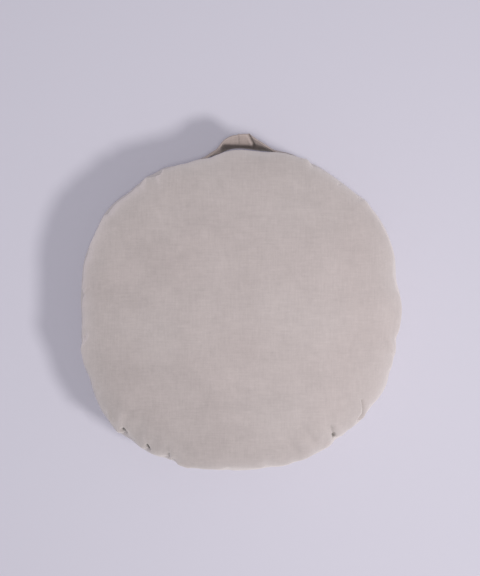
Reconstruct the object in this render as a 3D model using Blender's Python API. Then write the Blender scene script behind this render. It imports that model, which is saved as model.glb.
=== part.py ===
"""Round boxed floor pouf in greige velvet, with a carry handle of the same cloth on its side band.

Frame: origin at the middle of the flat base, +Z up, +Y toward the handle. Tables are in millimetres and
degrees, counted from +X toward +Y; the meshes are in metres.
"""

import math
from collections import namedtuple

import bmesh
import bpy
from mathutils import Vector
from mathutils.geometry import interpolate_bezier

MM = 0.001

# Driving sizes
RADIUS = 300.0
COLUMN_STEP = 3.0
SEAM_HEIGHT = 140.0
STRAP_THICKNESS = 4.0
STRAP_EDGE = 1.3
STRAP_GAP = 0.52

# Colours of the velvet, as linear light
VELVET = (0.50, 0.44, 0.42, 1.0)
STRAP_VELVET = (0.48, 0.41, 0.39, 1.0)
VELVET_ROUGHNESS = 0.9

# The side profile from the rim of the flat base, up the band and in over the crown. Steps is the number
# of mesh rows from this place to the next.
Place = namedtuple("Place", "name radius height steps")
PROFILE = (
    Place("rim of the flat base", 232, 0.0, 2),
    Place("underside", 264, 3.0, 2),
    Place("lower corner", 283, 12.0, 2),
    Place("bottom lobe", 290, 24.0, 2),
    Place("bottom seam", 286, 36.0, 2),
    Place("lower band", 295.5, 56.0, 2),
    Place("widest", 300, 86.0, 2),
    Place("upper band", 296.5, 116.0, 3),
    Place("top seam", 285, SEAM_HEIGHT, 2),
    Place("top lobe", 292.5, 150.5, 3),
    Place("shoulder", 279, 164.0, 2),
    Place("edge of the crown", 240, 173.5, 2),
    Place("crown", 160, 179.0, 2),
    Place("middle of the crown", 80, 181.5, 1),
    Place("centre", 0, 182.0, 0),
)
SEAMS = ("bottom seam", "top seam")

# Where the outline stands outside the circle, or inside it where push is negative.
Swell = namedtuple("Swell", "angle push spread")
SWELLS = (
    Swell(10, -8.0, 8),
    Swell(32, 8.0, 17),
    Swell(58, -3.0, 8),
    Swell(71, 4.5, 8),
    Swell(83, -5.0, 5),
    Swell(91, -2.0, 14),
    Swell(104, -13.5, 9.5),
    Swell(121, -4.5, 9),
    Swell(146, 3.5, 9),
    Swell(181, -12.0, 11),
    Swell(198, 4.0, 8),
    Swell(221, 16.0, 12),
    Swell(239, 7.0, 8),
    Swell(252, 3.0, 8),
    Swell(272, -8.0, 13),
    Swell(325, 3.0, 12),
    Swell(347, -3.5, 9),
)

# The puckers at the top seam. Half is the half width of the furrow, over and down its reach in over the
# crown and down the band, and drift the degrees it wanders by the end of its reach over the crown.
Fold = namedtuple("Fold", "angle depth half over down drift")
FOLDS = (
    Fold(10, 4.5, 6, 20, 26, -2),
    Fold(42, 4.5, 5, 16, 18, 1),
    Fold(52, 3.5, 5, 14, 16, -1),
    Fold(63, 3.0, 6, 18, 18, 0),
    Fold(120, 5.5, 6, 36, 24, 4),
    Fold(127, 3.5, 5, 20, 18, 2),
    Fold(144, 4.0, 6, 22, 20, -2),
    Fold(159, 3.5, 6, 20, 20, 1),
    Fold(173, 4.5, 6, 26, 26, 3),
    Fold(192, 6.5, 6, 28, 28, -3),
    Fold(208, 3.5, 5, 20, 18, 2),
    Fold(219.5, 4.0, 6, 40, 18, -4),
    Fold(226.5, 9.0, 5, 30, 32, 2),
    Fold(236, 6.5, 5, 26, 24, 1),
    Fold(244, 7.5, 6, 28, 30, -2),
    Fold(279, 3.5, 6, 22, 20, 2),
    Fold(299, 3.0, 11, 80, 10, 3),
    Fold(306, 9.5, 5, 30, 30, -2),
    Fold(314, 5.0, 6, 48, 20, 8),
    Fold(343, 4.5, 5, 16, 20, 1),
)
# Beside each furrow the cloth swells a little, in half widths from its middle and in shares of its depth.
SHOULDER_PLACE = 2.2
SHOULDER_SHARE = 0.3
NEXT_TO_NOTHING = 0.01

# Mesh columns at each furrow, in half widths, and the least room between two columns, in degrees.
COLUMNS_AT_A_FOLD = (-SHOULDER_PLACE, -1.0, 0.0, 1.0, SHOULDER_PLACE)
FOLD_COLUMN_ROOM = 0.5
EVEN_COLUMN_ROOM = 1.35

# A stretch over which something holds in full, and the fade to nothing outside it.
Stretch = namedtuple("Stretch", "low high fade")

# Slow unevenness: waves counted round the pouf, their depth and the turn they start at.
Wave = namedtuple("Wave", "count depth turn")
BAND_WAVES = (Wave(7, 1.0, 20), Wave(11, 0.8, 75), Wave(17, 0.6, 140))
HEM_WAVES = (Wave(13, 0.7, 10), Wave(23, 0.5, 200))
CROWN_WAVES = (Wave(2, 1.1, 35), Wave(3, 0.9, 160), Wave(5, 0.6, 250))
BAND_HEIGHTS = Stretch(30.0, SEAM_HEIGHT, 12.0)
HEM_HEIGHTS = Stretch(8.0, 40.0, 8.0)
CROWN_HEIGHTS = Stretch(170.0, 200.0, 8.0)

# Where the stitches of the handle draw the band in.
SEAT_DEPTH = 8.0
SEAT_ANGLES = Stretch(68.0, 111.0, 6.0)
SEAT_HEIGHTS = Stretch(68.0, 134.0, 12.0)

# The strap, a row for each section: where its upper and lower edges are, round the pouf, out from the
# band and above the base. It flares: its lower half is steep and its upper half leans out.
Section = namedtuple("Section", "place top_angle low_angle top_out low_out top low steps")
STRAP = (
    Section("left end, sewn down", 109.0, 109.0, 0, 0, 136, 92, 3),
    Section("left lift", 104.6, 104.6, 0, 0, 136, 92, 2),
    Section("left foot", 101.6, 101.2, 7.0, 3.0, 135.5, 92, 2),
    Section("left leg", 98.4, 98.0, 14.2, 5.4, 133.6, 91.4, 2),
    Section("upper left leg", 96.6, 96.1, 20.6, 6.8, 131.2, 90.4, 2),
    Section("left bend", 94.9, 94.4, 29.2, 8.0, 128.0, 89.6, 2),
    Section("past the left bend", 93.2, 92.8, 32.6, 8.6, 126.2, 89.2, 2),
    Section("left of the crease", 91.4, 91.0, 34.4, 8.8, 125.0, 89.0, 1),
    Section("crease", 90.8, 90.4, 34.0, 8.6, 124.9, 88.9, 1),
    Section("right of the crease", 90.2, 89.8, 35.0, 8.8, 124.6, 88.8, 3),
    Section("left of the kink", 87.2, 85.2, 37.4, 8.8, 123.8, 88.8, 1),
    Section("kink", 86.5, 84.4, 36.6, 8.2, 123.8, 88.9, 1),
    Section("right of the kink", 85.8, 83.7, 33.2, 7.6, 124.8, 89.2, 2),
    Section("right leg", 82.8, 82.0, 24.4, 6.4, 127.8, 89.8, 2),
    Section("lower right leg", 79.9, 79.7, 15.0, 4.6, 131.8, 91.0, 2),
    Section("right foot", 77.1, 77.1, 6.4, 2.2, 134.8, 92, 2),
    Section("right lift", 74.6, 74.6, 0, 0, 136, 92, 3),
    Section("right end, sewn down", 69.0, 69.0, 0, 0, 136, 92, 0),
)
FLARE = 0.22
FREE_OUT = Stretch(8.0, 100.0, 6.0)
STRAP_ROWS = 6
TURNED_EDGE_ANGLE = 60.0

# A row of the cover: its place on the profile, the way out from it, and how far past the top seam it is.
Row = namedtuple("Row", "radius height out up past_seam")


def clear_scene():
    for thing in list(bpy.data.objects):
        bpy.data.objects.remove(thing)


def bell(offset, half):
    """1 in the middle, 0.37 at the half width and next to nothing at twice that."""
    return math.exp(-((offset / half) ** 2))


def turned(angle, start):
    """The degrees from start round to the angle, the short way."""
    return (angle - start + 180.0) % 360.0 - 180.0


def plateau(value, stretch):
    """1 inside the stretch, easing to 0 over the fade outside it."""
    outside = max(stretch.low - value, value - stretch.high, 0.0) / stretch.fade
    return 0.0 if outside >= 1.0 else 1.0 - outside * outside * (3.0 - 2.0 * outside)


def midway(share):
    """1 halfway along, and 0 at both ends."""
    return 4.0 * share * (1.0 - share)


def waviness(waves, angle):
    return sum(w.depth * math.cos(math.radians(w.count * (angle - w.turn))) for w in waves)


def smooth_curve(knots, steps):
    """A smooth curve through the knots, with the given number of steps after each of them."""
    last = len(knots) - 1
    points = []
    for i in range(last):
        start, end = knots[i], knots[i + 1]
        third = (end - start).length / 3.0
        leaving = (end - knots[max(i - 1, 0)]).normalized()
        arriving = (knots[min(i + 2, last)] - start).normalized()
        stretch = interpolate_bezier(
            start, start + leaving * third, end - arriving * third, end, steps[i] + 1
        )
        points += stretch[:-1]
    return points + [knots[last]]


def cover_rows():
    """The rows of the cover, from the rim of the flat base to the centre of the crown.

    Each cloth panel is a smooth curve of its own, so the two seams stay crisp valleys.
    """
    points = []
    cuts = [i for i, place in enumerate(PROFILE) if place.name in SEAMS]
    for start, end in zip([0] + cuts, cuts + [len(PROFILE) - 1]):
        panel = PROFILE[start : end + 1]
        knots = [Vector((place.radius, place.height)) for place in panel]
        points = points[:-1] + smooth_curve(knots, [place.steps for place in panel])
    travelled = [0.0]
    for start, end in zip(points, points[1:]):
        travelled.append(travelled[-1] + (end - start).length)
    seam = min(range(len(points)), key=lambda i: abs(points[i].y - SEAM_HEIGHT))
    rows = []
    for i, point in enumerate(points):
        ahead, behind = points[min(i + 1, len(points) - 1)], points[max(i - 1, 0)]
        along = (ahead - behind).normalized()
        rows.append(Row(point.x, point.y, along.y, -along.x, travelled[i] - travelled[seam]))
    return rows


def fold_depth(fold, angle, past_seam):
    """How far one pucker draws the cover in at an angle and a distance past the top seam."""
    reach = fold.over if past_seam > 0.0 else fold.down
    strength = bell(past_seam, reach)
    if strength < NEXT_TO_NOTHING:
        return 0.0
    middle = fold.angle + fold.drift * min(1.0, max(0.0, past_seam) / fold.over)
    across = math.radians(turned(angle, middle)) * RADIUS / fold.half
    shoulders = bell(across - SHOULDER_PLACE, 1.0) + bell(across + SHOULDER_PLACE, 1.0)
    return fold.depth * strength * (bell(across, 1.0) - SHOULDER_SHARE * shoulders)


def cover_point(row, angle):
    """A point of the cover, in millimetres, on one row and at one angle."""
    rim = row.radius / RADIUS
    push = sum(s.push * bell(turned(angle, s.angle), s.spread) for s in SWELLS) * rim * rim
    out = sum(-fold_depth(fold, angle, row.past_seam) for fold in FOLDS)
    out += plateau(row.height, BAND_HEIGHTS) * waviness(BAND_WAVES, angle)
    out += plateau(row.height, HEM_HEIGHTS) * waviness(HEM_WAVES, angle)
    out += plateau(row.height, CROWN_HEIGHTS) * midway(rim) * waviness(CROWN_WAVES, angle)
    seat = SEAT_DEPTH * plateau(angle, SEAT_ANGLES) * plateau(row.height, SEAT_HEIGHTS)
    radius = row.radius + push + out * row.out - seat
    turn = math.radians(angle)
    return Vector((radius * math.cos(turn), radius * math.sin(turn), row.height + out * row.up))


def column_angles():
    """Even columns round the pouf, with close ones at each pucker in their place."""
    close = set()
    for fold in FOLDS:
        half = math.degrees(fold.half / RADIUS)
        close.update((fold.angle + share * half) % 360.0 for share in COLUMNS_AT_A_FOLD)
    apart = []
    for angle in sorted(close):
        if not apart or angle - apart[-1] > FOLD_COLUMN_ROOM:
            apart.append(angle)
    even = [i * COLUMN_STEP for i in range(round(360.0 / COLUMN_STEP))]
    kept = [a for a in even if min(abs(turned(a, c)) for c in apart) > EVEN_COLUMN_ROOM]
    return sorted(apart + kept)


def new_object(name, bm, colour):
    """An object of its own for a finished mesh, with its cloth."""
    mesh = bpy.data.meshes.new(name)
    bm.to_mesh(mesh)
    bm.free()
    mesh.shade_smooth()
    piece = bpy.data.objects.new(name, mesh)
    bpy.context.scene.collection.objects.link(piece)
    cloth = bpy.data.materials.new(name + "_velvet")
    cloth.use_nodes = True
    shader = cloth.node_tree.nodes["Principled BSDF"]
    shader.inputs["Base Color"].default_value = colour
    shader.inputs["Roughness"].default_value = VELVET_ROUGHNESS
    shader.inputs["Metallic"].default_value = 0.0
    mesh.materials.append(cloth)
    return piece


def pouf_body(rows):
    """The filled cover: flat base, band and crown, closed by a ring of faces for each pair of rows."""
    bm = bmesh.new()
    angles = column_angles()
    rings = [[bm.verts.new(cover_point(row, a) * MM) for a in angles] for row in rows[:-1]]
    for vert in rings[0]:
        vert.co.z = 0.0
    bm.faces.new(reversed(rings[0]))
    count = len(angles)
    for lower, upper in zip(rings, rings[1:]):
        for i in range(count):
            j = (i + 1) % count
            bm.faces.new((lower[i], lower[j], upper[j], upper[i]))
    centre = bm.verts.new((0.0, 0.0, rows[-1].height * MM))
    for i in range(count):
        bm.faces.new((rings[-1][i], rings[-1][(i + 1) % count], centre))
    return new_object("pouf_body", bm, VELVET)


def band_point(rows, turn, out, level):
    """The point that stands out from the band, with its gap, at a turn round the pouf and a height."""
    below = max(i for i, row in enumerate(rows) if row.height <= level)
    lower, upper = rows[below], rows[below + 1]
    share = (level - lower.height) / (upper.height - lower.height)
    point = cover_point(lower, turn).lerp(cover_point(upper, turn), share)
    return point + Vector((point.x, point.y, 0.0)).normalized() * (max(out, 0.0) + STRAP_GAP)


def strap_column(rows, low, top):
    """The points of the strap's inner face from its lower edge to its upper one.

    Sewn down, it follows the band. Standing free, it is straight but for its flare.
    """
    low_point, top_point = band_point(rows, *low), band_point(rows, *top)
    free = plateau(top.y, FREE_OUT)
    column = []
    for k in range(STRAP_ROWS + 1):
        share = k / STRAP_ROWS
        straight = low_point.lerp(top_point, share)
        inward = Vector((-straight.x, -straight.y, 0.0)).normalized()
        straight += inward * FLARE * (top - low).y * math.sin(math.pi * share)
        column.append(band_point(rows, *low.lerp(top, share)).lerp(straight, free))
    return column


def carry_handle(rows):
    """The strap: a sheet between its two edges, sewn down at both ends, given its thickness outward."""
    steps = [section.steps for section in STRAP]
    low_edge = smooth_curve([Vector((s.low_angle, s.low_out, s.low)) for s in STRAP], steps)
    top_edge = smooth_curve([Vector((s.top_angle, s.top_out, s.top)) for s in STRAP], steps)
    bm = bmesh.new()
    sheet = []
    for low, top in zip(low_edge, top_edge):
        sheet.append([bm.verts.new(point * MM) for point in strap_column(rows, low, top)])
    for left, right in zip(sheet, sheet[1:]):
        for k in range(STRAP_ROWS):
            bm.faces.new((left[k], left[k + 1], right[k + 1], right[k]))
    strap = new_object("carry_handle", bm, STRAP_VELVET)
    thick = strap.modifiers.new("double cloth", "SOLIDIFY")
    thick.thickness = STRAP_THICKNESS * MM
    thick.offset = 1.0
    rounded = strap.modifiers.new("turned edges", "BEVEL")
    rounded.width = STRAP_EDGE * MM
    rounded.segments = 2
    rounded.limit_method = "ANGLE"
    rounded.angle_limit = math.radians(TURNED_EDGE_ANGLE)
    return strap


def main():
    clear_scene()
    rows = cover_rows()
    pouf_body(rows)
    carry_handle(rows)


main()
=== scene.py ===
# %% [markdown]
# # A round velvet pouf with a carry handle
#
# This lesson dresses a low round floor pouf in greige velvet. The real one is a filled cover of three cloth
# panels, two rounds and a side band, with a flat strap of the same velvet sewn to the band. The frame
# brings both pieces at their real size and place, so nothing here has to be measured again. Sizes are in
# metres.

import math
import random
from collections import namedtuple

import bpy
import numpy as np
from mathutils import Matrix, Vector
from mathutils.bvhtree import BVHTree


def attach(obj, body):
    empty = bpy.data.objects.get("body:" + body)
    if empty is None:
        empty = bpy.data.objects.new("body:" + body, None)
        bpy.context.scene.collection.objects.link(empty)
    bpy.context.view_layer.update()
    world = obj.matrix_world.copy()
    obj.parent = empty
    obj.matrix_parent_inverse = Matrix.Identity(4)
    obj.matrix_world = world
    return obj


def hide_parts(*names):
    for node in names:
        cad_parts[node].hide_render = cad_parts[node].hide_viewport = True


MM = 0.001
scene = bpy.context.scene
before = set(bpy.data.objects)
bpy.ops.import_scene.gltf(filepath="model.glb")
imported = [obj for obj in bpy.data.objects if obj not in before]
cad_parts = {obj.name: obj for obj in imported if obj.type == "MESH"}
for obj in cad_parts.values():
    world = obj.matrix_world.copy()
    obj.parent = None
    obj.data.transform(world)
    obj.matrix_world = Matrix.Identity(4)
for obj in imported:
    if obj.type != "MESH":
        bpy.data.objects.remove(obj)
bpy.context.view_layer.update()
print("nodes:", ", ".join(sorted(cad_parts)))

# %% [markdown]
# ## The camera
#
# The pouf is seen from straight above, and a trace of its side band shows only where the band bulges past
# the top seam. That is the look of a lens about two metres up. A camera that has no turn looks down, so
# only its place and its lens are needed, and both follow from how large the pouf is in the picture.

# %% Place the camera
PICTURE_WIDTH = 480
PICTURE_HEIGHT = 576
POUF_MIDDLE_PX = (239.1, 309.3)
FLOOR_PER_PX = 1.9183 * MM
CAMERA_HEIGHT = 2.2
SENSOR_MM = 36.0

camera = bpy.data.objects.new("camera", bpy.data.cameras.new("camera"))
scene.collection.objects.link(camera)
camera.location = (
    (PICTURE_WIDTH / 2 - POUF_MIDDLE_PX[0]) * FLOOR_PER_PX,
    (POUF_MIDDLE_PX[1] - PICTURE_HEIGHT / 2) * FLOOR_PER_PX,
    CAMERA_HEIGHT,
)
camera.data.sensor_width = SENSOR_MM
camera.data.lens = SENSOR_MM * CAMERA_HEIGHT / (PICTURE_HEIGHT * FLOOR_PER_PX)
scene.camera = camera
print("lens:", round(camera.data.lens, 1), "mm")

# %% [markdown]
# ## Floor and light
#
# A pale sheet of paper lies under the pouf. A key lamp stands to the right and a little towards the viewer,
# high up, so the shadow falls short and soft to the left and away. A second lamp hangs straight above,
# which lightens that shadow and leaves the paper bright right up to the pouf. White walls fill in the rest.

# %% Lay the floor and hang the lights
FLOOR_SIZE = 9.0
FLOOR_COLOUR = (0.66, 0.64, 0.73, 1.0)
PAPER_ROUGHNESS = 0.85
Lamp = namedtuple("Lamp", "name turn rise far size power colour")
LAMPS = [
    Lamp("key_lamp", -27.0, 57.0, 3.7, 0.62, 54.0, (1.0, 0.98, 0.955)),
    Lamp("top_lamp", -90.0, 88.0, 3.9, 0.55, 48.0, (1.0, 1.0, 0.97)),
]
ROOM_LIGHT = 0.275
ROOM_COLOUR = (1.0, 0.98, 1.1, 1.0)


def plain_material(name, colour, roughness):
    """A node material with its Principled shader, and the shader's node."""
    material = bpy.data.materials.new(name)
    material.use_nodes = True
    shader = material.node_tree.nodes["Principled BSDF"]
    shader.inputs["Base Color"].default_value = colour
    shader.inputs["Roughness"].default_value = roughness
    return material, shader


bpy.ops.object.select_all(action="DESELECT")
bpy.ops.mesh.primitive_plane_add(size=FLOOR_SIZE)
floor = bpy.context.object
floor.name = "paper_floor"
floor.data.materials.append(plain_material("pale_paper", FLOOR_COLOUR, PAPER_ROUGHNESS)[0])

for lamp in LAMPS:
    light = bpy.data.lights.new(lamp.name, "AREA")
    light.shape = "DISK"
    light.size = lamp.size
    light.energy = lamp.power
    light.color = lamp.colour
    holder = bpy.data.objects.new(lamp.name, light)
    scene.collection.objects.link(holder)
    turn, rise = math.radians(lamp.turn), math.radians(lamp.rise)
    way = Vector((math.cos(turn) * math.cos(rise), math.sin(turn) * math.cos(rise), math.sin(rise)))
    holder.location = way * lamp.far
    holder.rotation_euler = way.to_track_quat("Z", "Y").to_euler()
    print(lamp.name, "at", [round(x, 2) for x in holder.location])

room = bpy.data.worlds.new("room")
room.use_nodes = True
room.node_tree.nodes["Background"].inputs["Color"].default_value = ROOM_COLOUR
room.node_tree.nodes["Background"].inputs["Strength"].default_value = ROOM_LIGHT
scene.world = room
scene.view_settings.view_transform = "Standard"

# %% [markdown]
# ## Helpers for shaping
#
# Every operator works on what is selected, so each step first clears the selection and then picks its own
# object. Reading and writing all points of a mesh at once keeps the shaping of soft cloth quick.


# %% Write the helpers
def only(piece):
    """Selects this object alone and makes it the active one."""
    bpy.ops.object.select_all(action="DESELECT")
    piece.select_set(True)
    bpy.context.view_layer.objects.active = piece


def points_of(mesh):
    flat = np.empty(len(mesh.vertices) * 3, np.float32)
    mesh.vertices.foreach_get("co", flat)
    return flat.reshape(-1, 3).astype(float)


def move_points(mesh, points):
    mesh.vertices.foreach_set("co", points.astype(np.float32).ravel())
    mesh.update()


def normals_of(mesh):
    flat = np.empty(len(mesh.vertices) * 3, np.float32)
    mesh.vertex_normals.foreach_get("vector", flat)
    return flat.reshape(-1, 3).astype(float)


def spread(mesh, values, rounds):
    """Evens out values that belong to the points of a mesh, along its edges."""
    ends = np.empty(len(mesh.edges) * 2, np.int32)
    mesh.edges.foreach_get("vertices", ends)
    one, other = ends.reshape(-1, 2).T
    neighbours = np.bincount(ends, minlength=len(values))[:, None]
    for _ in range(rounds):
        total = np.zeros_like(values)
        np.add.at(total, one, values[other])
        np.add.at(total, other, values[one])
        values = 0.5 * (values + total / neighbours)
    return values


def subdivide(piece, levels):
    """Rounds a piece with the Subdivision Surface modifier, applied."""
    modifier = piece.modifiers.new("round off", "SUBSURF")
    modifier.levels = modifier.render_levels = levels
    only(piece)
    bpy.ops.object.modifier_apply(modifier=modifier.name)


def paint_points(mesh, name, values):
    """Stores one number for each point, which a material can read by this name."""
    layer = mesh.attributes.new(name, "FLOAT", "POINT")
    layer.data.foreach_set("value", values.astype(np.float32))


def bell(offset):
    return np.exp(-np.square(offset))


def turn_apart(turns, middle):
    """Degrees from the middle to each turn, the short way round."""
    return (turns - middle + 180.0) % 360.0 - 180.0


# %% [markdown]
# ## The cover, from the solid to a sewn shell
#
# The solid of the cover has the right outline, crown, seams and large puckers, in coarse facets. A copy of
# it is merged, and its pairs of triangles are joined into the four-sided faces that they came from. Then
# one round of subdivision gives a net of cloth that runs along the seams, which a fresh remesh would lose.


# %% Copy the solid as a net of quads
FLAT_BELOW = 0.4 * MM
MERGE = 0.01 * MM
QUAD_FOLD = math.radians(70.0)
QUAD_SKEW = math.radians(120.0)


def sewn_shell(node, name):
    """A copy of a node's mesh as one merged surface of quads, with its flat base as one face."""
    piece = bpy.data.objects.new(name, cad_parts[node].data.copy())
    scene.collection.objects.link(piece)
    piece.data.materials.clear()
    only(piece)
    bpy.ops.object.mode_set(mode="EDIT")
    bpy.ops.mesh.select_mode(type="FACE")
    bpy.ops.mesh.select_all(action="SELECT")
    bpy.ops.mesh.remove_doubles(threshold=MERGE)
    bpy.ops.mesh.customdata_custom_splitnormals_clear()
    bpy.ops.mesh.select_all(action="DESELECT")
    bpy.ops.object.mode_set(mode="OBJECT")
    mesh = piece.data
    flat = [max(mesh.vertices[v].co.z for v in face.vertices) < FLAT_BELOW for face in mesh.polygons]
    mesh.polygons.foreach_set("select", flat)
    bpy.ops.object.mode_set(mode="EDIT")
    if any(flat):
        bpy.ops.mesh.dissolve_faces()
    bpy.ops.mesh.select_all(action="INVERT")
    bpy.ops.mesh.tris_convert_to_quads(face_threshold=QUAD_FOLD, shape_threshold=QUAD_SKEW)
    bpy.ops.object.mode_set(mode="OBJECT")
    mesh.shade_smooth()
    sides = [len(face.vertices) for face in mesh.polygons]
    print(name, "quads:", sides.count(4), "of", len(sides), "faces")
    return piece


cover = sewn_shell("pouf_body", "velvet_cover")
subdivide(cover, 1)
print("cover:", len(cover.data.polygons), "faces")

# %% [markdown]
# ## Filling it
#
# The stuffing pushes the panels out, and the seams hold them back. More cloth is sewn onto a curved seam
# than the seam is long, so it gathers into small radiating puckers. Blender's cloth can do the same: the
# rest shape is a little too long round the seams, the seams and the base are held, and air pressure fills
# the rest. What comes out is kept to a few millimetres, so that the cover stays the size it was drawn.

# %% Inflate the cover
TOP_SEAM = 140.0 * MM
LOW_SEAM = 36.0 * MM
EASE = 0.035
EASE_REACH = 17.0 * MM
HELD_AT_SEAM = 3.0 * MM
HELD_CROWN = 190.0 * MM
FREE_CROWN = 245.0 * MM
HELD_BASE = LOW_SEAM / 4
PRESSURE = 4.0
CLOTH_QUALITY = 6
CLOTH_STIFFNESS = 1.2
LAST_FRAME = 20
MOST_MOVE = 4.0 * MM
EVEN_ROUNDS = 2


def eased_rest(points):
    """The net with more cloth round both seams."""
    more = EASE * sum(bell((points[:, 2] - seam) / EASE_REACH) for seam in (TOP_SEAM, LOW_SEAM))
    out = np.hypot(points[:, 0], points[:, 1])
    more *= np.clip((out - HELD_CROWN) / (FREE_CROWN - HELD_CROWN), 0.0, 1.0)
    return points * np.stack([1.0 + more, 1.0 + more, np.ones(len(points))], axis=1)


def held_share(points):
    """1 where a point is held: at the seams, over the base and in the middle of the crown."""
    out = np.hypot(points[:, 0], points[:, 1])
    crown = np.clip((FREE_CROWN - out) / (FREE_CROWN - HELD_CROWN), 0.0, 1.0)
    seams = sum(np.abs(points[:, 2] - seam) < HELD_AT_SEAM for seam in (TOP_SEAM, LOW_SEAM))
    base = points[:, 2] < HELD_BASE
    return np.clip(crown + seams + base, 0.0, 1.0)


def inflate(piece):
    """Fills the piece by a cloth run, of which a few millimetres at most are kept."""
    start = points_of(piece.data)
    piece.shape_key_add(name="as drawn")
    rest = piece.shape_key_add(name="with ease")
    rest.data.foreach_set("co", eased_rest(start).astype(np.float32).ravel())
    held = piece.vertex_groups.new(name="held")
    for i, share in enumerate(held_share(start)):
        if share > 0.0:
            held.add([i], float(share), "REPLACE")
    cloth = piece.modifiers.new("cloth", "CLOTH")
    cloth.settings.quality = CLOTH_QUALITY
    cloth.settings.rest_shape_key = rest
    cloth.settings.vertex_group_mass = held.name
    cloth.settings.use_pressure = True
    cloth.settings.uniform_pressure_force = PRESSURE
    cloth.settings.bending_stiffness = CLOTH_STIFFNESS
    cloth.settings.effector_weights.gravity = 0.0
    for step in range(1, LAST_FRAME + 1):
        scene.frame_set(step)
    filled = piece.evaluated_get(bpy.context.evaluated_depsgraph_get())
    moved = points_of(filled.data) - start
    piece.modifiers.remove(cloth)
    piece.shape_key_clear()
    piece.vertex_groups.clear()
    scene.frame_set(1)
    far = np.linalg.norm(moved, axis=1, keepdims=True)
    print("the filling pushed by up to", round(float(far.max()) / MM, 1), "mm")
    kept = moved * np.tanh(far / MOST_MOVE) * MOST_MOVE / np.maximum(far, MERGE)
    move_points(piece.data, start + spread(piece.data, kept, EVEN_ROUNDS))


inflate(cover)
subdivide(cover, 1)
print("cover:", len(cover.data.polygons), "faces")

# %% [markdown]
# ## Where the wall leans
#
# A filled cover is never quite round. Here and there the wall has settled a few millimetres outwards or
# inwards, and at the lower right the outline makes a real step. Each row is such a place: how far round it
# is, how wide, both in degrees, and how far out it goes, in millimetres. The narrow ones fade out down the
# side band. Behind the strap the cover swells a little, and the strap's two ends go out with the wall.

# %% Lean the wall
LEANS = [
    (2, 6, 3.0),
    (13, 4, -1.8),
    (41, 2.5, 3.0),
    (59, 7, 3.2),
    (66, 1.8, 3.2),
    (92, 8, 2.4),
    (105, 3, 3.6),
    (125, 1.5, 3.0),
    (133, 4, -3.2),
    (145, 3, 1.0),
    (169, 6, -3.0),
    (204, 4, -3.4),
    (220, 3, -2.2),
    (230, 2.5, -4.2),
    (243, 4, -2.8),
    (246.5, 1.2, -3.4),
    (252, 2, 1.2),
    (266, 1.5, -2.2),
    (281, 3, -2.0),
    (290, 2, -2.0),
    (307.2, 1.9, -6.8),
    (312, 3, -3.4),
    (324, 4, -2.6),
    (337, 2, -2.6),
    (345, 1.6, 2.2),
    (350, 1.8, -4.4),
]
UNDER_STRAP = (82.5, 4.5, 2.4)
STRAP_LEGS = [(101, 3, 4.5), (81.5, 4, 2.0)]
LEAN_FROM = 215.0 * MM
LEAN_FULL = 285.0 * MM
NARROW_LEAN = 2.6
LEAN_FEET = (0.0, 36.0 * MM)
NARROW_FEET = (60.0 * MM, 122.0 * MM)


def lean(piece, leans):
    """Moves a piece in and out with the wall."""
    points = points_of(piece.data)
    turns = np.degrees(np.arctan2(points[:, 1], points[:, 0]))
    out = np.hypot(points[:, 0], points[:, 1])
    far = np.zeros(len(points))
    for turn, wide, mm in leans:
        feet = LEAN_FEET if wide > NARROW_LEAN else NARROW_FEET
        push = mm * MM * bell(turn_apart(turns, turn) / wide)
        far += push * np.interp(points[:, 2], feet, (0.0, 1.0))
    far *= np.interp(out, (LEAN_FROM, LEAN_FULL), (0.0, 1.0))
    points[:, :2] *= (1.0 + far / np.maximum(out, LEAN_FROM))[:, None]
    move_points(piece.data, points)
    low, high = round(float(far.min()) / MM, 1), round(float(far.max()) / MM, 1)
    print(piece.name, "leans from", low, "to", high, "mm")


lean(cover, LEANS + [UNDER_STRAP])

# %% [markdown]
# ## The seams and the gathers
#
# A seam shows as a narrow valley with the cloth swelling on both sides of it. All along it the machine has
# gathered a little more cloth than fits, in pinches that are never evenly spaced. Each pinch is a soft
# hollow square to the seam that fades out within a finger's width, so a seeded list of them is pressed in.

# %% Press in the seams and the gathers
SEAM_HALF_WIDTH = 2.4 * MM
SEAM_DEPTH = 1.5 * MM
SEAM_AT_LEAST_OUT = 200.0 * MM
GATHER_SEED = 7
GATHER_SPACING = (9.0 * MM, 34.0 * MM)
GATHER_HALF_WIDTH = (3.2 * MM, 5.5 * MM)
GATHER_DEPTH = (0.25 * MM, 1.0 * MM)
GATHER_REACH = (7.0 * MM, 24.0 * MM)
BAND_REACH = 0.55
SEAM_MIDWAY = (TOP_SEAM + LOW_SEAM) / 2

Gather = namedtuple("Gather", "turn wide deep reach")


def seam_distance(points, height):
    """How far each point is from the seam at this height, measured in the upright plane through it."""
    turns = np.degrees(np.arctan2(points[:, 1], points[:, 0])) % 360.0
    out = np.hypot(points[:, 0], points[:, 1])
    on_seam = (np.abs(points[:, 2] - height) < HELD_AT_SEAM) & (out > SEAM_AT_LEAST_OUT)
    order = np.argsort(turns[on_seam])
    seam_out = np.interp(turns, turns[on_seam][order], out[on_seam][order], period=360.0)
    return np.hypot(out - seam_out, points[:, 2] - height), turns, out


def gathers_along(rng, length):
    """A row of pinches along a seam of this length, by how far round each one is."""
    row = []
    along = rng.uniform(*GATHER_SPACING)
    while along < length - GATHER_SPACING[0]:
        sizes = [rng.uniform(*limits) for limits in (GATHER_HALF_WIDTH, GATHER_DEPTH, GATHER_REACH)]
        row.append(Gather(360.0 * along / length, *sizes))
        along += rng.uniform(*GATHER_SPACING)
    return row


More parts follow.
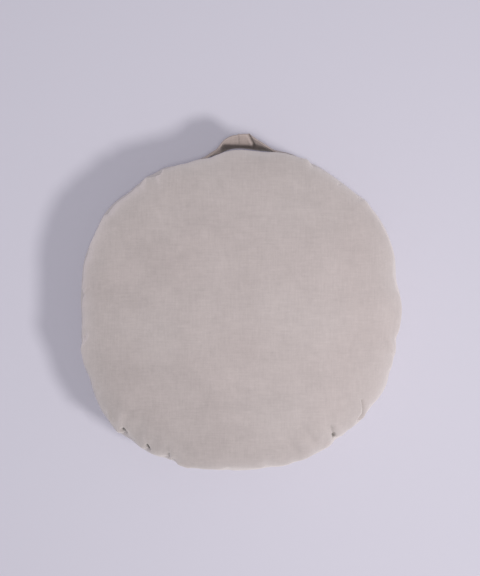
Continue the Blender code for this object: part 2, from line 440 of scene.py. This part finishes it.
def pressed(points, height, rng):
    """How deep the seam at this height and its gathers press each point in."""
    away, turns, out = seam_distance(points, height)
    depth = SEAM_DEPTH * bell(away / SEAM_HALF_WIDTH)
    outer = points[:, 2] > height if height > SEAM_MIDWAY else points[:, 2] < height
    for gather in gathers_along(rng, math.tau * float(out.max())):
        across = np.radians(turn_apart(turns, gather.turn)) * out
        reach = np.where(outer, gather.reach, gather.reach * BAND_REACH)
        depth += gather.deep * bell(across / gather.wide) * np.exp(-away / reach)
    return depth


rng = random.Random(GATHER_SEED)
cover_points = points_of(cover.data)
seam_depth = sum(pressed(cover_points, seam, rng) for seam in (TOP_SEAM, LOW_SEAM))
seam_depth[cover_points[:, 2] < FLAT_BELOW] = 0.0
move_points(cover.data, cover_points - normals_of(cover.data) * seam_depth[:, None])
print("pressed in by up to", round(float(seam_depth.max()) / MM, 2), "mm")

# %% [markdown]
# ## The puckers that the eye finds first
#
# In a few places the seam has caught a real tuck. The cloth dips into a short dark slot and rises in a
# rounded lip beside it. Each is a stroke seen from above, from one end to the other, with its half width
# and its depth in millimetres. A lip has a negative depth.

# %% List the puckers
STROKES = [
    (-207, -210, -202, -217, 2.6, 7.5),
    (-205, -183, -215, -213, 4.5, -2.4),
    (-226, -175, -227, -191, 4.2, 2.2),
    (-216, -166, -221, -188, 6.0, 1.0),
    (-234, -179, -232, -193, 2.6, -1.0),
    (-164, -239, -161, -248, 2.5, 6.5),
    (-166, -225, -171, -243, 4.0, -1.6),
    (-126, -255, -126, -261, 3.8, 4.0),
    (-119, -265, -116, -267, 2.2, 3.5),
    (-123, -238, -125, -249, 4.5, 1.2),
    (-109, -274, -91, -278, 4.0, -2.0),
    (-175, -202, -177, -227, 8.0, 1.2),
    (-190, -217, -188, -224, 3.5, -0.8),
    (169, -220.5, 170, -223.5, 3.3, 9.5),
    (164, -205, 168, -217, 3.8, 3.2),
    (152, -211, 163, -222, 5.0, -1.2),
    (177, -205, 182, -214, 6.0, -1.2),
    (175, -234, 189, -225, 4.5, 4.0),
    (157, -238, 165, -235, 3.0, -1.8),
    (219, -196, 223, -188, 3.5, -1.4),
    (231, -177, 236, -169, 3.6, 1.4),
    (218, -158, 221, -174, 2.6, 3.2),
    (221, -174, 221, -183, 2.5, 3.2),
    (221, -183, 212, -197, 2.4, 3.0),
    (229, -157, 229, -176, 3.2, -1.3),
    (216, -177, 208, -198, 2.4, -0.8),
    (113, -204, 136, -227, 6.0, 1.9),
    (95, -231, 109, -252, 8.0, 1.5),
    (109, -225, 130, -242, 6.0, -0.9),
    (275, -76, 279, -81, 2.0, 3.0),
    (263, -48, 271, -59, 3.0, -1.0),
    (271, -59, 274, -73, 2.6, -1.1),
    (265, -63, 267, -74, 3.0, -0.7),
    (256, -52, 264, -62, 4.0, 0.8),
    (191, -150, 200, -177, 5.0, 0.9),
    (216, 203, 223, 201.5, 2.2, 8.5),
    (217, 207, 222, 206, 2.0, -1.2),
    (178, 226, 183, 231, 2.2, 1.4),
    (146, 249, 149, 253, 2.2, 1.0),
    (-144, 246, -141, 250, 2.4, 7.0),
    (-149, 238, -146, 230, 4.0, 1.2),
    (-134, 253, -135, 245, 3.0, -1.0),
    (-157, 238, -153, 234, 2.4, 1.0),
    (-270, 111, -263, 108, 3.0, 0.8),
    (-249, 98, -249, 84, 7.0, 0.6),
    (-264, 78, -263, 68, 5.0, 0.6),
    (-270, 40, -276, 32, 2.2, -0.8),
    (-279, 36, -278, 27, 2.4, 0.9),
    (-274, -36, -274, -52, 3.4, 1.3),
    (-267, -45, -274, -57, 2.6, -1.0),
    (-277, -56, -274, -58, 2.2, 1.2),
    (-253, -129, -248, -136, 2.6, 0.6),
    (-240, 178, -234, 174, 2.6, 0.7),
    (172, -233, 177, -230, 3.0, 6.5),
    (163, -237, 167, -233, 2.6, -2.2),
]
print("puckers and lips:", len(STROKES))

# %% [markdown]
# ## Pressing them in
#
# The net is too coarse for the narrow strokes, so the faces under them are split first. Then each point
# moves against its normal, as deep as the deepest stroke that reaches it. The same depth is stored at each
# point for the material to read: a tuck is painted darker and a lip paler, partly as pile bent into them
# and mostly as painted shade and painted highlight. The deepest slots are painted much darker still, as
# painted shade.

# %% Press in the puckers
STROKES_ABOVE = 128.0 * MM
STROKES_FADE = 10.0 * MM
NARROW = 3.4
DEEP = 1.3
SPLIT_ROUND = 5.5 * MM
SPLIT_CUTS = 2
FULL_SHADING_TUCK = 1.9 * MM
CRUSH_AND_SHADING_LIMITS = (-1.2, 1.0)
SLOT_SHADE = 7.0
SLOT_FROM = 2.2 * MM
SLOT_FADE = 2.6 * MM


def from_stroke(points, line):
    """How far each point is from a stroke, seen from above."""
    start = np.array(line[:2]) * MM
    span = np.array(line[2:]) * MM - start
    offset = points[:, :2] - start
    along = np.clip(offset @ span / (span @ span), 0.0, 1.0)
    return np.linalg.norm(offset - along[:, None] * span, axis=1)


def split_under(piece, lines):
    """Splits the upward faces under these strokes, so that they have room to bend."""
    mesh = piece.data
    middles = np.empty(len(mesh.polygons) * 3, np.float32)
    mesh.polygons.foreach_get("center", middles)
    middles = middles.reshape(-1, 3)
    near = np.zeros(len(middles), bool)
    for line in lines:
        near |= from_stroke(middles, line) < SPLIT_ROUND
    near &= middles[:, 2] > STROKES_ABOVE
    only(piece)
    bpy.ops.object.mode_set(mode="EDIT")
    bpy.ops.mesh.select_mode(type="FACE")
    bpy.ops.mesh.select_all(action="DESELECT")
    bpy.ops.object.mode_set(mode="OBJECT")
    mesh.polygons.foreach_set("select", near)
    bpy.ops.object.mode_set(mode="EDIT")
    bpy.ops.mesh.subdivide(number_cuts=SPLIT_CUTS, smoothness=1.0)
    bpy.ops.object.mode_set(mode="OBJECT")
    return int(near.sum())


sharp = [line for *line, wide, deep in STROKES if wide < NARROW and deep > DEEP]
split = split_under(cover, sharp)
cover_points = points_of(cover.data)
hollow, lip = np.zeros(len(cover_points)), np.zeros(len(cover_points))
for *line, wide, deep in STROKES:
    pushed = abs(deep) * MM * bell(from_stroke(cover_points, line) / (wide * MM))
    kept = hollow if deep > 0.0 else lip
    np.maximum(kept, pushed, out=kept)
tuck = hollow - lip
tuck *= np.clip((cover_points[:, 2] - STROKES_ABOVE) / STROKES_FADE, 0.0, 1.0)
move_points(cover.data, cover_points - normals_of(cover.data) * tuck[:, None])
# painted shade: the bottoms of the deepest slots are painted much darker
deep_shade = SLOT_SHADE * np.clip((tuck - SLOT_FROM) / SLOT_FADE, 0.0, 1.0)
# tucks painted darker and lips paler: bent pile, painted shade and painted highlight
paint_points(cover.data, "crush_and_shading", np.clip(-tuck / FULL_SHADING_TUCK, *CRUSH_AND_SHADING_LIMITS) - deep_shade)
cover.data.shade_smooth()
print("split", split, "faces, now", len(cover.data.polygons))
print("deepest tuck", round(float(tuck.max()) / MM, 1), "mm")

# %% [markdown]
# ## Painted light on the cover
#
# The cover's colour is painted lighter on the right half, where the key lamp shines on it, and darker
# towards the front and back edges: painted light and shade. Along the rim at the upper left, above the top
# seam, the colour is painted paler as a painted highlight of the velvet's sheen. All this changes slowly
# from place to place, so a number at each point of the cover says it, and the material reads that number.

# %% Paint light and shade on the cover
PAINT_RADIUS = 0.3
LIGHTER_TO_RIGHT = 0.15
SHADE_AT_ENDS = -0.125
LIGHT_ACROSS = -0.105
RIM_WAY = (-0.88, 0.47, 0.0)
RIM_PALE = 2.0
RIM_POWER = 3
RIM_MOST = 1.0
RIM_FROM = 138.0 * MM
RIM_FULL = 152.0 * MM

cover_points = points_of(cover.data)
# painted highlight: the upper left rim painted paler for the velvet's sheen
rim = RIM_PALE * np.clip(normals_of(cover.data) @ RIM_WAY, 0.0, 1.0) ** RIM_POWER
rim = np.minimum(rim, RIM_MOST)
rim *= np.interp(cover_points[:, 2], (RIM_FROM, RIM_FULL), (0.0, 1.0))
# painted light and shade: lighter to the right, towards the key lamp, darker to the front and back
right, back = cover_points[:, 0] / PAINT_RADIUS, cover_points[:, 1] / PAINT_RADIUS
painted_light = LIGHTER_TO_RIGHT * right + SHADE_AT_ENDS * back ** 2 + (LIGHT_ACROSS * right * back + rim)
paint_points(cover.data, "painted_light", painted_light)
print("nap from", round(float(painted_light.min()), 3), "to", round(float(painted_light.max()), 3))

# %% [markdown]
# ## Helpers for materials
#
# A shader tree is built from the same few nodes over and over: a sum, a vector sum and a noise. Each helper
# adds one of them, wires it up and hands back its output, so a pattern can be written like a formula.


# %% Write the node helpers
def wire(tree, value, socket):
    """Feeds a socket from another one, or sets it to a plain value."""
    if isinstance(value, bpy.types.NodeSocket):
        tree.links.new(value, socket)
    else:
        socket.default_value = value


def sum_node(tree, operation, *values):
    """Works on plain numbers, sockets or both."""
    node = tree.nodes.new("ShaderNodeMath")
    node.operation = operation
    for value, socket in zip(values, node.inputs):
        wire(tree, value, socket)
    return node.outputs[0]


def vector_node(tree, operation, one, other):
    """Works on two vectors, or scales one by a number."""
    node = tree.nodes.new("ShaderNodeVectorMath")
    node.operation = operation
    wire(tree, one, node.inputs[0])
    wire(tree, other, node.inputs["Scale"] if operation == "SCALE" else node.inputs[1])
    return node.outputs[0]


def noise_node(tree, place, scale, detail=1.0, roughness=0.5):
    """A noise from -1 to 1 with its middle at 0."""
    node = tree.nodes.new("ShaderNodeTexNoise")
    wire(tree, place, node.inputs["Vector"])
    node.inputs["Scale"].default_value = scale
    node.inputs["Detail"].default_value = detail
    node.inputs["Roughness"].default_value = roughness
    return sum_node(tree, "MULTIPLY_ADD", node.outputs["Fac"], 2.0, -1.0)


def new_group(name, takes, gives):
    """An empty node group with these sockets, and its two end nodes."""
    group = bpy.data.node_groups.new(name, "ShaderNodeTree")
    for label, kind in takes:
        group.interface.new_socket(label, in_out="INPUT", socket_type=kind)
    for label, kind in gives:
        group.interface.new_socket(label, in_out="OUTPUT", socket_type=kind)
    return group, group.nodes.new("NodeGroupInput"), group.nodes.new("NodeGroupOutput")


# %% [markdown]
# ## Velvet
#
# Velvet is a short dense pile. Where it has been stroked or leaned on, the pile lies another way and the
# patch looks a little lighter or darker, warmer or cooler. Fine rows of tufts run along and across the
# cloth. All of this is very faint and much alike at every scale, so the mottling is one fractal noise, with
# two long thin noises for the rows. One group makes this colour and height for every velvet piece.

# %% Build the velvet group
PATCH_SCALE = 6.5
MOTTLE_SCALE = 11.0
MOTTLE_DETAIL = 7.0
MOTTLE_ROUGHNESS = 0.9
ROWS_ALONG = 34.0
ROWS_ACROSS = 420.0
PILE_SCALE = 950.0
PATCH_SHADE = 0.10
MOTTLE_SHADE = 0.42
ROWS_SHADE = 0.12
PILE_SHADE = 0.10
CRUSH_SHADE = 0.10
WARM_TINT = (1.012, 0.997, 0.994)
COOL_TINT = (0.990, 1.003, 1.003)
TINT_SPREAD = 0.9
TINT_MIDDLE = 0.5
VELVET_ROUGHNESS = 0.86
ROUGHNESS_SPREAD = 0.10
MOTTLE_HEIGHT = 0.5
PILE_HEIGHT = 0.35
ROWS_HEIGHT = 0.3
VELVET_TAKES = [
    ("Cloth", "NodeSocketColor"),
    ("Contrast", "NodeSocketFloat"),
    ("Crush_And_Shading", "NodeSocketFloat"),
    ("Painted_Light", "NodeSocketFloat"),
]
VELVET_GIVES = [
    ("Color", "NodeSocketColor"),
    ("Roughness", "NodeSocketFloat"),
    ("Height", "NodeSocketFloat"),
]


def velvet_group():
    """The pile's colour, roughness and height, from the cloth's colour and what is painted on it."""
    group, taken, given = new_group("velvet pile", VELVET_TAKES, VELVET_GIVES)
    place = group.nodes.new("ShaderNodeTexCoord").outputs["Object"]
    patches = noise_node(group, place, PATCH_SCALE)
    mottle = noise_node(group, place, MOTTLE_SCALE, MOTTLE_DETAIL, MOTTLE_ROUGHNESS)
    pile = noise_node(group, place, PILE_SCALE)
    along = vector_node(group, "MULTIPLY", place, (ROWS_ACROSS, ROWS_ALONG, ROWS_ALONG))
    across = vector_node(group, "MULTIPLY", place, (ROWS_ALONG, ROWS_ACROSS, ROWS_ACROSS))
    rows = sum_node(group, "ADD", noise_node(group, along, 1.0), noise_node(group, across, 1.0))

    shade = sum_node(group, "MULTIPLY", mottle, MOTTLE_SHADE)
    shade = sum_node(group, "MULTIPLY_ADD", patches, PATCH_SHADE, shade)
    shade = sum_node(group, "MULTIPLY_ADD", rows, ROWS_SHADE, shade)
    shade = sum_node(group, "MULTIPLY_ADD", pile, PILE_SHADE, shade)
    shade = sum_node(group, "MULTIPLY", shade, taken.outputs["Contrast"])
    # the painted shade and highlight of tucks, lips, kinks and shaded parts, and then the painted light
    shade = sum_node(group, "MULTIPLY_ADD", taken.outputs["Crush_And_Shading"], CRUSH_SHADE, shade)
    shade = sum_node(group, "ADD", taken.outputs["Painted_Light"], shade)

    tint = group.nodes.new("ShaderNodeMix")
    tint.data_type = "VECTOR"
    coolness = sum_node(group, "MULTIPLY_ADD", patches, TINT_SPREAD, TINT_MIDDLE)
    wire(group, coolness, tint.inputs["Factor"])
    tint.inputs["A"].default_value = WARM_TINT
    tint.inputs["B"].default_value = COOL_TINT
    tinted = vector_node(group, "MULTIPLY", taken.outputs["Cloth"], tint.outputs["Result"])
    colour = vector_node(group, "SCALE", tinted, sum_node(group, "ADD", shade, 1.0))
    group.links.new(colour, given.inputs["Color"])
    rough = sum_node(group, "MULTIPLY_ADD", mottle, ROUGHNESS_SPREAD, VELVET_ROUGHNESS)
    group.links.new(rough, given.inputs["Roughness"])
    height = sum_node(group, "MULTIPLY", mottle, MOTTLE_HEIGHT)
    height = sum_node(group, "MULTIPLY_ADD", pile, PILE_HEIGHT, height)
    height = sum_node(group, "MULTIPLY_ADD", rows, ROWS_HEIGHT, height)
    group.links.new(height, given.inputs["Height"])
    return group


velvet = velvet_group()
print("velvet group:", len(velvet.nodes), "nodes")

# %% [markdown]
# ## The two velvet materials
#
# The cover and the handle are cut from the same cloth. The sheen is what makes velvet velvet: its fibres
# catch light at a glancing view, which gives the pale rim all round. The handle is rubbed flat by hands, so
# its sheen is much weaker. Its colour is a little warmer than the cover's, partly as painted shade for the
# warm brown shade on its inner face. The cover also shows its two seams as fine shaded lines, at the
# heights they are sewn.

# %% Make the materials
COVER_COLOUR = (0.450, 0.390, 0.383, 1.0)
# warmer than the cover: partly painted shade, for the brown of the shade on the handle's inner face
HANDLE_COLOUR = (0.45, 0.378, 0.358, 1.0)
Sheen = namedtuple("Sheen", "weight roughness")
COVER_SHEEN = Sheen(1.0, 0.8)
HANDLE_SHEEN = Sheen(0.35, 0.4)
SHEEN_TINT = (1.0, 0.94, 0.91, 1.0)
SPECULAR = 0.08
PILE_BUMP = 0.5
PILE_RAISED = 0.45 * MM
COVER_CONTRAST = 0.72
HANDLE_CONTRAST = 0.55
SEAM_LINE = 1.1 * MM
SEAM_SHADE = 0.35


def velvet_material(name, cloth, contrast, sheen):
    """A velvet with its shader and its group node."""
    material, shader = plain_material(name, cloth, VELVET_ROUGHNESS)
    tree = material.node_tree
    pile = tree.nodes.new("ShaderNodeGroup")
    pile.node_tree = velvet
    pile.inputs["Cloth"].default_value = cloth
    pile.inputs["Contrast"].default_value = contrast
    # reads the painted shade, highlight and light stored at the points
    for painted in ("crush_and_shading", "painted_light"):
        reader = tree.nodes.new("ShaderNodeAttribute")
        reader.attribute_name = painted
        tree.links.new(reader.outputs["Fac"], pile.inputs[painted.title()])
    bump = tree.nodes.new("ShaderNodeBump")
    bump.inputs["Strength"].default_value = PILE_BUMP
    bump.inputs["Distance"].default_value = PILE_RAISED
    tree.links.new(pile.outputs["Height"], bump.inputs["Height"])
    tree.links.new(bump.outputs["Normal"], shader.inputs["Normal"])
    tree.links.new(pile.outputs["Color"], shader.inputs["Base Color"])
    tree.links.new(pile.outputs["Roughness"], shader.inputs["Roughness"])
    shader.inputs["Specular IOR Level"].default_value = SPECULAR
    shader.inputs["Sheen Weight"].default_value = sheen.weight
    shader.inputs["Sheen Roughness"].default_value = sheen.roughness
    shader.inputs["Sheen Tint"].default_value = SHEEN_TINT
    return material, shader, pile


def seam_lines(material, shader, pile):
    """Shades a fine line round the cover at the height of each seam."""
    tree = material.node_tree
    split = tree.nodes.new("ShaderNodeSeparateXYZ")
    tree.links.new(tree.nodes.new("ShaderNodeTexCoord").outputs["Object"], split.inputs[0])
    lines = 0.0
    for seam in (TOP_SEAM, LOW_SEAM):
        away = sum_node(tree, "ABSOLUTE", sum_node(tree, "SUBTRACT", split.outputs["Z"], seam))
        near = sum_node(tree, "SUBTRACT", 1.0, sum_node(tree, "DIVIDE", away, SEAM_LINE))
        lines = sum_node(tree, "ADD", sum_node(tree, "MAXIMUM", near, 0.0), lines)
    light = sum_node(tree, "SUBTRACT", 1.0, sum_node(tree, "MULTIPLY", lines, SEAM_SHADE))
    shaded = vector_node(tree, "SCALE", pile.outputs["Color"], light)
    tree.links.new(shaded, shader.inputs["Base Color"])


cover_parts = velvet_material("greige_velvet", COVER_COLOUR, COVER_CONTRAST, COVER_SHEEN)
cover_velvet = cover_parts[0]
seam_lines(*cover_parts)
cover.data.materials.append(cover_velvet)
handle_velvet = velvet_material("handle_velvet", HANDLE_COLOUR, HANDLE_CONTRAST, HANDLE_SHEEN)[0]
print("materials:", cover_velvet.name, handle_velvet.name)

# %% [markdown]
# ## The carry handle
#
# The handle is a flat strap folded from a doubled strip of the same velvet, so its edges are round and
# closed. It stands out from the band in a low arch and leans outwards, so its inner face is seen from
# above. Where a hand has bent it, a fine crease runs across it, and beside that a sharper slanting kink.
# Their grooves are painted darker as painted shade, and the kink's ridge paler as a painted highlight. The
# lower half of that inner face lies in deep shade, which is painted into its colour, and the left end is
# painted paler, as painted light.

# %% Dress the handle
KINK = (18, 318, 28, 300)
KINK_RIDGE = (13, 317, 22, 302)
CREASE = (-1, 320, 0, 304)
KINK_HALF_WIDTH = 1.9 * MM
RIDGE_HALF_WIDTH = 2.4 * MM
CREASE_HALF_WIDTH = 1.2 * MM
KINK_DEPTH = 2.7 * MM
RIDGE_HEIGHT = 1.5 * MM
CREASE_DEPTH = 1.2 * MM
FULL_SHADING_DENT = 0.45 * MM
DENT_LIMITS = (-6.0, 1.0)
DARKEST = -7.0
FACING = 2.0
SHADED_EDGE = ((31.0 * MM, 56.0 * MM), (301.8 * MM, 292.5 * MM))
SHADED_FADE = 2.6 * MM
SHADED_FROM_LEFT = (-36.0 * MM, -30.0 * MM)
SHADED = 5.3
PALE_LEG = 4.0

handle = sewn_shell("carry_handle", "velvet_handle")
subdivide(handle, 2)
lean(handle, LEANS + STRAP_LEGS)
strap_points = points_of(handle.data)
dent = KINK_DEPTH * bell(from_stroke(strap_points, KINK) / KINK_HALF_WIDTH)
dent -= RIDGE_HEIGHT * bell(from_stroke(strap_points, KINK_RIDGE) / RIDGE_HALF_WIDTH)
dent += CREASE_DEPTH * bell(from_stroke(strap_points, CREASE) / CREASE_HALF_WIDTH)
outward = strap_points * (1.0, 1.0, 0.0)
outward /= np.linalg.norm(outward, axis=1, keepdims=True)
move_points(handle.data, strap_points + outward * dent[:, None])
facing_in = np.clip(-FACING * np.sum(normals_of(handle.data) * outward, axis=1), 0.0, 1.0)
# painted shade over the lower half of the inner face, and painted light on the left leg
shaded_edge = np.interp(strap_points[:, 0], *SHADED_EDGE)
shaded = SHADED * np.clip((shaded_edge - strap_points[:, 1]) / SHADED_FADE + 0.5, 0.0, 1.0)
on_arch = np.interp(strap_points[:, 0], SHADED_FROM_LEFT, (0.0, 1.0))
shaded = shaded * on_arch - PALE_LEG * (1.0 - on_arch)
# painted shade in the kink and crease, a painted highlight on the ridge, on the inner face only
kink_shading = np.clip(-dent / FULL_SHADING_DENT, *DENT_LIMITS)
paint_points(handle.data, "crush_and_shading", np.maximum(kink_shading - shaded, DARKEST) * facing_in)
handle.data.shade_smooth()
handle.data.materials.append(handle_velvet)
print("handle:", len(handle.data.polygons), "faces")

# %% [markdown]
# ## The handle's stitching
#
# Thread of the cloth's own colour runs along both long edges of the strap and closes the doubled strip. At
# each end a sewn box with a cross in it holds the strap to the band, as on every carry handle. One stitch
# is modelled, a small ball pulled out into a short rounded bar, and copied to all its places.

# %% Make one stitch
THREAD = 0.75 * MM
STITCH = 3.2 * MM
STITCH_SIDES = 8
STITCH_RINGS = 6


def one_stitch():
    """A bar along X with round ends."""
    bpy.ops.object.select_all(action="DESELECT")
    bpy.ops.mesh.primitive_uv_sphere_add(segments=STITCH_SIDES, ring_count=STITCH_RINGS, radius=THREAD / 2)
    stitch = bpy.context.object
    stitch.data.shade_smooth()
    points = points_of(stitch.data)
    points[:, 0] += np.sign(np.round(points[:, 0], 6)) * (STITCH - THREAD) / 2
    move_points(stitch.data, points)
    return stitch


stitch = one_stitch()
print("one stitch:", len(stitch.data.polygons), "faces")

# %% [markdown]
# ## Where the stitches go
#
# The strap is arched and leans, so a stitch can't be placed by numbers alone. A ray is shot at the strap
# from outside, and where it lands, the stitch lies down along its run with its back to the surface.

# %% Find places on the strap
STITCH_PITCH = 4.4 * MM
RAY_START = 0.5
EDGE_SEARCH = 1.0
RUN_STEPS = 24

strap_points = points_of(handle.data)
strap_turns = np.degrees(np.arctan2(strap_points[:, 1], strap_points[:, 0]))
strap_tree = BVHTree.FromObject(handle, bpy.context.evaluated_depsgraph_get())


def edge_heights(turn):
    """The heights of the strap's lower and upper edge at this turn."""
    near = np.abs(strap_turns - turn) < EDGE_SEARCH
    return strap_points[near, 2].min(), strap_points[near, 2].max()


def on_strap(turn, height, inner):
    """The place and the outward direction on the strap's outer or inner face."""
    way = Vector((math.cos(math.radians(turn)), math.sin(math.radians(turn)), 0.0))
    start = way * RAY_START + Vector((0.0, 0.0, height))
    place, normal, _, _ = strap_tree.ray_cast(start, -way)
    if place and inner:
        place, normal, _, _ = strap_tree.ray_cast(place - way * MM, -way)
    return place, normal


def sew(run, inner=False):
    """Copies of the stitch along a run of (turn, height) places."""
    found = [on_strap(turn, height, inner) for turn, height in run]
    found = [(place, normal) for place, normal in found if place]
    lengths = [0.0]
    for (one, _), (other, _) in zip(found, found[1:]):
        lengths.append(lengths[-1] + (other - one).length)
    made = []
    for k in range(int(lengths[-1] / STITCH_PITCH)):
        here = (k + 0.5) * STITCH_PITCH
        i = next(n for n, length in enumerate(lengths) if length >= here)
        share = (here - lengths[i - 1]) / max(lengths[i] - lengths[i - 1], MERGE)
        place = found[i - 1][0].lerp(found[i][0], share)
        along = (found[i][0] - found[i - 1][0]).normalized()
        up = found[i][1]
        side = up.cross(along).normalized()
        turned = Matrix((along, side, along.cross(side))).transposed().to_4x4()
        copy = stitch.copy()
        copy.data = stitch.data.copy()
        scene.collection.objects.link(copy)
        copy.matrix_world = Matrix.Translation(place) @ turned
        made.append(copy)
    return made


def run_between(start, end):
    """A straight run of (turn, height) places."""
    shares = [k / RUN_STEPS for k in range(RUN_STEPS + 1)]
    return [tuple(one + (other - one) * share for one, other in zip(start, end)) for share in shares]


print("the strap spans", round(float(np.ptp(strap_turns)), 1), "degrees of the band")

# %% [markdown]
# ## Sewing
#
# The machine goes along both edges, on the outer and the inner face, and then sews the box and its cross at
# each end. All the stitches are joined into one object, because they are one thread on one piece.

# %% Sew the handle
EDGE_IN = 4.5 * MM
END_IN = 5.0 * MM
BOX_LONG = 22.0 * MM
EDGE_STEPS = 90
STRAP_OUT = 0.3
DEGREES_A_METRE = math.degrees(1.0 / STRAP_OUT)
THREAD_COLOUR = (0.44, 0.375, 0.355, 1.0)
THREAD_ROUGHNESS = 0.6

first = float(strap_turns.min()) + END_IN * DEGREES_A_METRE
last = float(strap_turns.max()) - END_IN * DEGREES_A_METRE
sewn = []
for inner in (False, True):
    for upper, inset in ((False, EDGE_IN), (True, -EDGE_IN)):
        run = [(turn, edge_heights(turn)[upper] + inset) for turn in np.linspace(first, last, EDGE_STEPS)]
        sewn += sew(run, inner)
for start, step in ((first, 1.0), (last, -1.0)):
    stop = start + step * BOX_LONG * DEGREES_A_METRE
    low, high = edge_heights((start + stop) / 2)
    near_low, near_high = (start, low + EDGE_IN), (start, high - EDGE_IN)
    far_low, far_high = (stop, low + EDGE_IN), (stop, high - EDGE_IN)
    sewn += sew(run_between(near_low, near_high))
    sewn += sew(run_between(far_low, far_high))
    sewn += sew(run_between(near_low, far_high))
    sewn += sew(run_between(near_high, far_low))
bpy.data.objects.remove(stitch)
only(sewn[0])
for copy in sewn:
    copy.select_set(True)
bpy.ops.object.join()
stitches = bpy.context.object
stitches.name = "handle_stitches"
bpy.ops.object.transform_apply(location=True, rotation=True, scale=True)
thread = plain_material("velvet_thread", THREAD_COLOUR, THREAD_ROUGHNESS)[0]
stitches.data.materials.append(thread)
print("stitches:", len(sewn), "faces:", len(stitches.data.polygons))

# %% [markdown]
# ## Join the pieces to the frame
#
# Nothing on the pouf moves, so all pieces ride on the one body. The cover and the handle take the place of
# their solids. The cover is a filled pad. The handle is a flat sheet of cloth, and its stitches go with it.

for piece in (cover, handle, stitches):
    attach(piece, "root")
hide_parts("pouf_body")
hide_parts("carry_handle")
